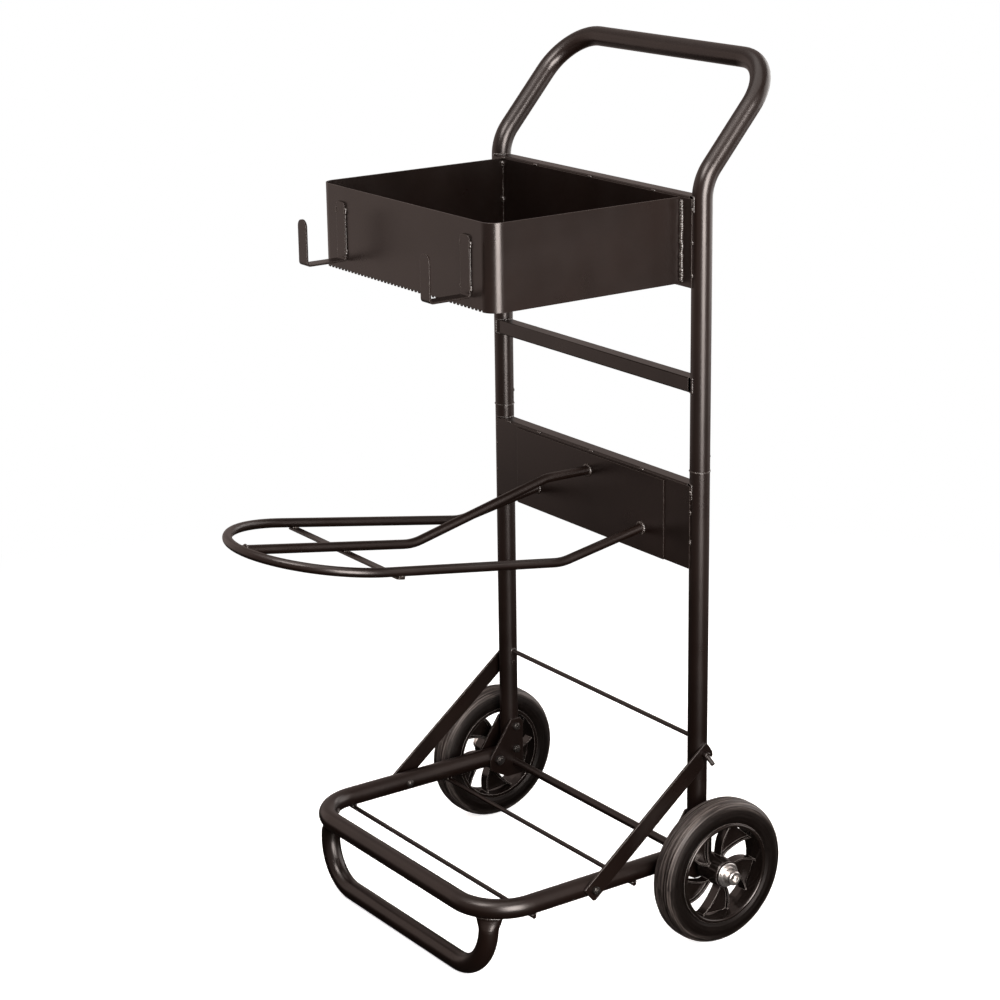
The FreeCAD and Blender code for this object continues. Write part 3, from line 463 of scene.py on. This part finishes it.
def add_bead(vertices, faces, points, radius, draw, closed=False):
    """Adds one run of weld along the points."""
    stations = evenly_spaced(points, closed)
    count = len(stations)
    sizes = ripple_sizes(count, closed, draw)
    first = len(vertices)
    side = None
    for index, centre in enumerate(stations):
        ahead = stations[(index + 1) % count] if closed or index < count - 1 else centre
        behind = stations[index - 1] if closed or index > 0 else centre
        tangent = (ahead - behind).normalized()
        if side is None:
            side = tangent.orthogonal()
        side = (side - tangent * side.dot(tangent)).normalized()
        other = tangent.cross(side)
        size = radius * sizes[index]
        if not closed:
            to_end = min(index, count - 1 - index) * BEAD_STEP / radius
            size *= math.sqrt(1 - (1 - min(1.0, to_end + 0.12)) ** 2)
        for corner in range(BEAD_SIDES):
            angle = 2 * math.pi * corner / BEAD_SIDES
            vertices.append(centre + (side * math.cos(angle) + other * math.sin(angle)) * size)
    steps = count if closed else count - 1
    twist = 0
    if closed:
        twist = closing_twist(vertices, first, count)
    for index in range(steps):
        following = (index + 1) % count
        shift = twist if following == 0 else 0
        for corner in range(BEAD_SIDES):
            after = (corner + 1) % BEAD_SIDES
            low = first + index * BEAD_SIDES
            high = first + following * BEAD_SIDES
            faces.append((low + corner, low + after,
                          high + (after + shift) % BEAD_SIDES, high + (corner + shift) % BEAD_SIDES))
    if not closed:
        faces.append(tuple(first + corner for corner in reversed(range(BEAD_SIDES))))
        last = first + (count - 1) * BEAD_SIDES
        faces.append(tuple(last + corner for corner in range(BEAD_SIDES)))


def closing_twist(vertices, first, count):
    """How many corners the last ring of a closed bead is turned from the first one."""
    last_corner = vertices[first + (count - 1) * BEAD_SIDES]
    gaps = [(vertices[first + corner] - last_corner).length for corner in range(BEAD_SIDES)]
    return gaps.index(min(gaps))


def weld_piece(name, body, beads, seed):
    """One object from a list of (points, radius, closed) runs of weld."""
    draw = random.Random(seed)
    vertices = []
    faces = []
    for points, radius, closed in beads:
        add_bead(vertices, faces, points, radius, draw, closed)
    add_piece(name, body, vertices, faces, bead_finish)


def add_piece(name, body, vertices, faces, finish):
    """A smooth piece that rides a body."""
    mesh = bpy.data.meshes.new(name)
    mesh.from_pydata(vertices, [], faces)
    mesh.polygons.foreach_set("use_smooth", [True] * len(mesh.polygons))
    mesh.materials.append(finish)
    mesh.update()
    piece = bpy.data.objects.new(name, mesh)
    bpy.context.scene.collection.objects.link(piece)
    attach(piece, body)


def ring(centre, axis, radius, steps=28):
    """Points of a circle round the axis."""
    side = axis.orthogonal().normalized()
    other = axis.normalized().cross(side)
    turns = [2 * math.pi * step / steps for step in range(steps)]
    return [centre + (side * math.cos(turn) + other * math.sin(turn)) * radius for turn in turns]


def short_run(centre, direction, length):
    half = direction.normalized() * (length / 2)
    return [centre - half, centre, centre + half]


def wandering_run(start, end, sway, draw, steps=9):
    """A long hand-made run that sways a little off its line."""
    points = []
    for step in range(steps + 1):
        offset = Vector((draw.uniform(-sway, sway), draw.uniform(-sway, sway), 0))
        points.append(start.lerp(end, step / steps) + offset)
    return points


def tray_welds():
    """The tray's rear seams, its hooks, and the tacks that hold its back plate."""
    draw = random.Random(11)
    low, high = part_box("tray_shell")
    plate_low, plate_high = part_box("tray_back_plate")
    beads = []
    for side in SIDES:
        corner_x = side * high.x + side * 0.0023
        start = Vector((corner_x, high.y - 0.0002, low.z + 0.003))
        end = Vector((corner_x, high.y - 0.0002, high.z - 0.003))
        beads.append((wandering_run(start, end, 0.0006, draw, 14), TRAY_CORNER_BEAD, False))
        for height in TRAY_LUMP_HEIGHTS:
            inner = Vector((side * (high.x - 0.0028), high.y - 0.0012, height))
            beads.append((short_run(inner, UP, 0.008), TRAY_LUMP, False))
        inner_seam = Vector((side * (high.x - 0.0018), high.y - 0.0003, 0))
        seam_foot = inner_seam + UP * (low.z + 0.006)
        seam_top = inner_seam + UP * (high.z - 0.004)
        seam_run = wandering_run(seam_foot, seam_top, 0.0002, draw)
        beads.append((seam_run, TRAY_INNER_SEAM, False))
        for height in TRAY_PLATE_TACK_HEIGHTS:
            tack = Vector((side * (plate_high.x + 0.0002), plate_low.y + 0.0010, height))
            beads.append((short_run(tack, UP, 0.005), PLATE_END_TACK, False))
        foot = Vector((side * (high.x + 0.0016), high.y - 0.0008, low.z + 0.0035))
        beads.append((short_run(foot, ACROSS, 0.009), TRAY_FOOT_BEAD, False))
    for x in TRAY_PLATE_TOP_TACKS:
        tack = Vector((x, plate_low.y + 0.0006, plate_high.z + 0.0004))
        beads.append((short_run(tack, ACROSS, 0.008), TRAY_TOP_TACK, False))
    for node in ("hose_hook_left", "hose_hook_right"):
        hook_low, hook_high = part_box(node)
        for x in (hook_low.x - 0.0004, hook_high.x + 0.0004):
            upper = Vector((x, low.y - 0.0009, hook_high.z - 0.0075))
            lower = Vector((x, low.y - 0.0009, hook_low.z + 0.0090))
            top_run = wandering_run(upper - UP * 0.009, upper, 0.0004, draw, 4)
            beads.append((top_run, HOOK_TOP_BEAD, False))
            foot_run = wandering_run(lower, lower + UP * 0.007, 0.0004, draw, 4)
            beads.append((foot_run, HOOK_FOOT_BEAD, False))
            beads.append((wandering_run(lower, upper, 0.0, draw, 9), HOOK_SEAM, False))
    return beads


def rail_end_path(node, side):
    """The outline of a square rail where it is coped to an upright."""
    low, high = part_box(node)
    outline = [(low.y, low.z), (low.y, high.z)]
    outline += [(low.y + (high.y - low.y) * step / 6, high.z) for step in range(1, 7)]
    outline += [(high.y, low.z)]
    outline += [(high.y - (high.y - low.y) * step / 6, low.z) for step in range(1, 6)]
    points = []
    for y, z in outline:
        depth = math.sqrt(max(TUBE_RADIUS ** 2 - (y - UPRIGHT_Y) ** 2, 0.0))
        points.append(Vector((side * (UPRIGHT_X - depth - 0.0003), y, z)))
    return points


def frame_welds():
    """The rails, the tie rod and the hoop's back plate on the uprights, and the lips of the tubes' seams."""
    beads = []
    plate_low, plate_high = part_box("hoop_back_plate")
    tie = box_centre("tie_rod")
    for side in SIDES:
        for node in ("middle_crossbar", "plate_rail", "tray_rail"):
            beads.append((rail_end_path(node, side), RAIL_BEAD, True))
        end = Vector((side * (UPRIGHT_X - TUBE_RADIUS - 0.0002), tie.y, tie.z))
        beads.append((ring(end, ACROSS, TIE_ROD_RING_RADIUS, 20), TIE_ROD_BEAD, True))
        for height in HOOP_PLATE_TACK_HEIGHTS:
            tack = Vector((side * (plate_high.x + 0.0002), plate_low.y + 0.0010, height))
            beads.append((short_run(tack, UP, 0.006), PLATE_END_TACK, False))
        lip = Vector((side * UPRIGHT_X, UPRIGHT_Y, SEAM_Z))
        beads.append((ring(lip, UP, TUBE_RADIUS - 0.0001, 40), SEAM_LIP, True))
    for x in HOOP_PLATE_TOP_TACKS:
        tack = Vector((x, plate_low.y + 0.0006, plate_high.z + 0.0004))
        beads.append((short_run(tack, ACROSS, 0.008), HOOP_PLATE_TOP_TACK, False))
    return beads


def rim_lip(side):
    """The rounded moulded bead at the outer edge of a wheel's rim, as rings of a torus."""
    centre = Vector((side * RIM_LIP_X, AXLE_CENTRE.y, AXLE_CENTRE.z))
    vertices = []
    faces = []
    for step in range(RIM_LIP_STEPS):
        turn = 2 * math.pi * step / RIM_LIP_STEPS
        outward = Vector((0, math.cos(turn), math.sin(turn)))
        for corner in range(RIM_LIP_SIDES):
            angle = 2 * math.pi * corner / RIM_LIP_SIDES
            offset = outward * math.cos(angle) + ACROSS * math.sin(angle)
            vertices.append(centre + outward * RIM_LIP_RADIUS + offset * RIM_LIP_THICKNESS)
            after = (corner + 1) % RIM_LIP_SIDES
            low = step * RIM_LIP_SIDES
            high = ((step + 1) % RIM_LIP_STEPS) * RIM_LIP_SIDES
            faces.append((low + corner, low + after, high + after, high + corner))
    return vertices, faces


def hoop_welds():
    """The roots of the three bars, the strap, and the joint at the hoop's nose."""
    root_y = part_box("hoop_mount_plate")[0].y
    rise = math.radians(HOOP_RISE)
    forward = Vector((0, -math.cos(rise), math.sin(rise)))
    beads = []
    for x, z in ((-HOOP_LEG_X, HOOP_LEG_ROOT_Z), (HOOP_LEG_X, HOOP_LEG_ROOT_Z), (0, HOOP_CENTRE_ROOT_Z)):
        root = Vector((x, root_y - 0.0004, z))
        beads.append((ring(root, BACK, HOOP_BAR_RADIUS + 0.0009), HOOP_ROOT_BEAD, True))
    strap_low, strap_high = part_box("hoop_cross_strap")
    strap = (strap_low + strap_high) / 2 + UP * 0.0022
    leg_x = strap_high.x - 0.0051
    for x in (-leg_x, 0, leg_x):
        for offset in (-0.0048, 0.0048):
            edge = Vector((x + offset, strap.y, strap.z))
            beads.append((short_run(edge, forward, 0.010), HOOP_STRAP_BEAD, False))
    nose_low, nose_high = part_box("hoop_outer_tube")
    nose_y = nose_low.y + 2 * HOOP_BAR_RADIUS + 0.0004
    nose_z = nose_high.z - HOOP_BAR_RADIUS - 0.0011
    nose = Vector((0, nose_y, nose_z))
    beads.append((ring(nose, forward, HOOP_BAR_RADIUS + 0.0003), HOOP_NOSE_BEAD, True))
    return beads


def foot_joint_path(side):
    """Where a flattened leg of the foot loop meets the platform's round corner."""
    platform_low, platform_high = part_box("platform_frame")
    bar_radius = (platform_high.z - platform_low.z) / 2
    bar_z = (platform_low.z + platform_high.z) / 2
    corner_x = side * (platform_high.x - bar_radius - PLATFORM_CORNER_RADIUS)
    corner_y = platform_low.y + bar_radius + PLATFORM_CORNER_RADIUS
    along = Vector((side, 1, 0)).normalized()
    across = Vector((-side, 1, 0)).normalized()
    points = []
    for step in range(32):
        turn = 2 * math.pi * step / 32
        spot = Vector((side * FOOT_LEG_X, FOOT_LEG_TOP_Y, 0))
        spot += along * math.cos(turn) * (FOOT_FLAT_HALF_LENGTH + 0.0003)
        spot += across * math.sin(turn) * (FOOT_FLAT_HALF_WIDTH + 0.0003)
        off_line = math.hypot(spot.x - corner_x, spot.y - corner_y) - PLATFORM_CORNER_RADIUS
        spot.z = bar_z - math.sqrt(max(bar_radius ** 2 - off_line ** 2, 0.0)) - 0.0004
        points.append(spot)
    return points


def platform_welds():
    """The foot loop under the corners, and the two rods under the side tubes."""
    beads = []
    platform_low, platform_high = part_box("platform_frame")
    bar_radius = (platform_high.z - platform_low.z) / 2
    for side in SIDES:
        beads.append((foot_joint_path(side), FOOT_BEAD, True))
        for node in ("platform_front_rod", "platform_middle_rod"):
            rod = box_centre(node)
            for offset in (-0.0030, 0.0030):
                seam_x = side * (platform_high.x - bar_radius)
                seam = Vector((seam_x, rod.y + offset, platform_low.z - 0.0008))
                beads.append((short_run(seam, ACROSS, 0.011), ROD_BEAD, False))
    return beads


# ---------------------------------------------------------------- stage

def add_floor_looks(pale):
    """Seen directly the floor is pale, and from below it isn't there, so that the cart's underside shows.
    In reflections it is dark near the cart and glows farther out."""
    tree = pale.tree
    ray = tree.nodes.new("ShaderNodeLightPath")
    distance = tree.nodes.new("ShaderNodeVectorMath")
    distance.operation = "LENGTH"
    pale.link(pale.place, distance.inputs[0])
    far = pale.spread(distance.outputs["Value"], 0.0, 1.0, FLOOR_FADE_START, FLOOR_FADE_END)
    blank = tree.nodes.new("ShaderNodeEmission")
    dark = tree.nodes.new("ShaderNodeBsdfDiffuse")
    dark.inputs["Color"].default_value = MIRRORED_FLOOR_COLOUR
    glow = tree.nodes.new("ShaderNodeEmission")
    glow.inputs["Color"].default_value = ROOM_COLOUR
    reach = pale.spread(distance.outputs["Value"], 0.0, MIRRORED_FLOOR_GLOW,
                        MIRRORED_FADE_START, MIRRORED_FADE_END)
    pale.link(reach, glow.inputs["Strength"])
    mirrored = tree.nodes.new("ShaderNodeAddShader")
    pale.link(dark.outputs["BSDF"], mirrored.inputs[0])
    pale.link(glow.outputs["Emission"], mirrored.inputs[1])
    fade = tree.nodes.new("ShaderNodeMixShader")
    choose = tree.nodes.new("ShaderNodeMixShader")
    pale.link(far, fade.inputs["Fac"])
    pale.link(pale.shader.outputs["BSDF"], fade.inputs[1])
    pale.link(blank.outputs["Emission"], fade.inputs[2])
    pale.link(ray.outputs["Is Camera Ray"], choose.inputs["Fac"])
    pale.link(mirrored.outputs["Shader"], choose.inputs[1])
    pale.link(fade.outputs["Shader"], choose.inputs[2])
    open_below = tree.nodes.new("ShaderNodeMixShader")
    clear = tree.nodes.new("ShaderNodeBsdfTransparent")
    facing = tree.nodes.new("ShaderNodeNewGeometry")
    pale.link(facing.outputs["Backfacing"], open_below.inputs["Fac"])
    pale.link(choose.outputs["Shader"], open_below.inputs[1])
    pale.link(clear.outputs["BSDF"], open_below.inputs[2])
    pale.link(open_below.outputs["Shader"], pale.output.inputs["Surface"])


def make_floor():
    pale = Surface("pale_floor")
    tone = pale.spread(pale.noise(1.3, 4.0), 0.0, 1.0)
    pale.set(Base_Color=pale.blend(tone, (0.86, 0.86, 0.86), (0.88, 0.88, 0.88)))
    pale.set(Roughness=0.75, Normal=pale.bump(pale.noise(180.0, 3.0), 0.04, 0.0005))
    pale.set(Emission_Color=(1.0, 1.0, 1.0, 1.0), Emission_Strength=FLOOR_LIFT)
    add_floor_looks(pale)
    half = FLOOR_SIZE / 2
    mesh = bpy.data.meshes.new("floor")
    corners = [(-half, -half, 0), (half, -half, 0), (half, half, 0), (-half, half, 0)]
    mesh.from_pydata(corners, [], [(0, 1, 2, 3)])
    mesh.materials.append(pale.material)
    floor = bpy.data.objects.new("floor", mesh)
    bpy.context.scene.collection.objects.link(floor)


def make_world():
    """White where the camera sees it. For light and reflections, a dim room with a brighter backdrop."""
    world = bpy.data.worlds.new("studio")
    world.use_nodes = True
    tree = world.node_tree
    tree.nodes.clear()
    output = tree.nodes.new("ShaderNodeOutputWorld")
    mix = tree.nodes.new("ShaderNodeMixShader")
    seen = tree.nodes.new("ShaderNodeBackground")
    room = tree.nodes.new("ShaderNodeBackground")
    ray = tree.nodes.new("ShaderNodeLightPath")
    place = tree.nodes.new("ShaderNodeTexCoord")
    split = tree.nodes.new("ShaderNodeSeparateXYZ")
    horizon = tree.nodes.new("ShaderNodeMapRange")
    toward = tree.nodes.new("ShaderNodeVectorMath")
    backdrop = tree.nodes.new("ShaderNodeMapRange")
    total = tree.nodes.new("ShaderNodeMath")
    seen.inputs["Color"].default_value = (1.0, 1.0, 1.0, 1.0)
    room.inputs["Color"].default_value = ROOM_COLOUR
    set_range(horizon, -0.20, 0.10, ROOM_FLOOR_LEVEL, ROOM_LEVEL)
    set_range(backdrop, 0.45, 0.95, 0.0, BACKDROP_LEVEL)
    azimuth = math.radians(BACKDROP_AZIMUTH)
    toward.operation = "DOT_PRODUCT"
    toward.inputs[1].default_value = (math.sin(azimuth) * 0.95, -math.cos(azimuth) * 0.95, 0.31)
    total.operation = "ADD"
    tree.links.new(place.outputs["Generated"], split.inputs["Vector"])
    tree.links.new(place.outputs["Generated"], toward.inputs[0])
    tree.links.new(split.outputs["Z"], horizon.inputs["Value"])
    tree.links.new(toward.outputs["Value"], backdrop.inputs["Value"])
    tree.links.new(horizon.outputs["Result"], total.inputs[0])
    tree.links.new(backdrop.outputs["Result"], total.inputs[1])
    tree.links.new(total.outputs["Value"], room.inputs["Strength"])
    tree.links.new(ray.outputs["Is Camera Ray"], mix.inputs["Fac"])
    tree.links.new(room.outputs["Background"], mix.inputs[1])
    tree.links.new(seen.outputs["Background"], mix.inputs[2])
    tree.links.new(mix.outputs["Shader"], output.inputs["Surface"])
    bpy.context.scene.world = world


def set_range(node, start, end, low, high):
    node.interpolation_type = "SMOOTHSTEP"
    node.inputs["From Min"].default_value = start
    node.inputs["From Max"].default_value = end
    node.inputs["To Min"].default_value = low
    node.inputs["To Max"].default_value = high


def softbox(name, azimuth, distance, height, width, tall, level, colour):
    """An area light that faces the cart. The level is its radiance."""
    data = bpy.data.lights.new(name, "AREA")
    data.shape = "RECTANGLE"
    data.size = width
    data.size_y = tall
    data.energy = level * math.pi * width * tall
    data.color = colour
    light = bpy.data.objects.new(name, data)
    turn = math.radians(azimuth)
    light.location = (distance * math.sin(turn), -distance * math.cos(turn), height)
    light.rotation_euler = (STUDIO_TARGET - light.location).to_track_quat("-Z", "Y").to_euler()
    light.visible_camera = False
    bpy.context.scene.collection.objects.link(light)


def make_camera():
    data = bpy.data.cameras.new("camera")
    data.sensor_width = CAMERA_SENSOR_MM
    data.lens = CAMERA_LENS_MM
    azimuth = math.radians(CAMERA_AZIMUTH)
    pitch = math.radians(CAMERA_PITCH)
    roll = math.radians(CAMERA_ROLL)
    forward = Vector((-math.sin(azimuth) * math.cos(pitch),
                      math.cos(azimuth) * math.cos(pitch),
                      -math.sin(pitch)))
    level_right = Vector((math.cos(azimuth), math.sin(azimuth), 0))
    level_up = level_right.cross(forward)
    right = level_right * math.cos(roll) + level_up * math.sin(roll)
    up = level_up * math.cos(roll) - level_right * math.sin(roll)
    turned = Matrix((right, up, -forward)).transposed().to_4x4()
    camera = bpy.data.objects.new("camera", data)
    camera.matrix_world = Matrix.Translation(CAMERA_POSITION) @ turned
    bpy.context.scene.collection.objects.link(camera)
    bpy.context.scene.camera = camera


finishes = paint_frame_nodes()
bead_finish = weld_coat()
weld_piece("tray_weld_beads", "frame", tray_welds(), 21)
weld_piece("frame_weld_beads", "frame", frame_welds(), 22)
weld_piece("hoop_weld_beads", "frame", hoop_welds(), 23)
weld_piece("platform_weld_beads", "platform", platform_welds(), 24)
for side, name in ((-1, "left"), (1, "right")):
    lip_vertices, lip_faces = rim_lip(side)
    add_piece("rim_lip_" + name, "wheel_" + name, lip_vertices, lip_faces,
              finishes["wheel_plastic"])
make_floor()
make_world()
for row in SOFTBOXES:
    softbox(*row)
make_camera()
bpy.context.scene.view_settings.view_transform = "Standard"
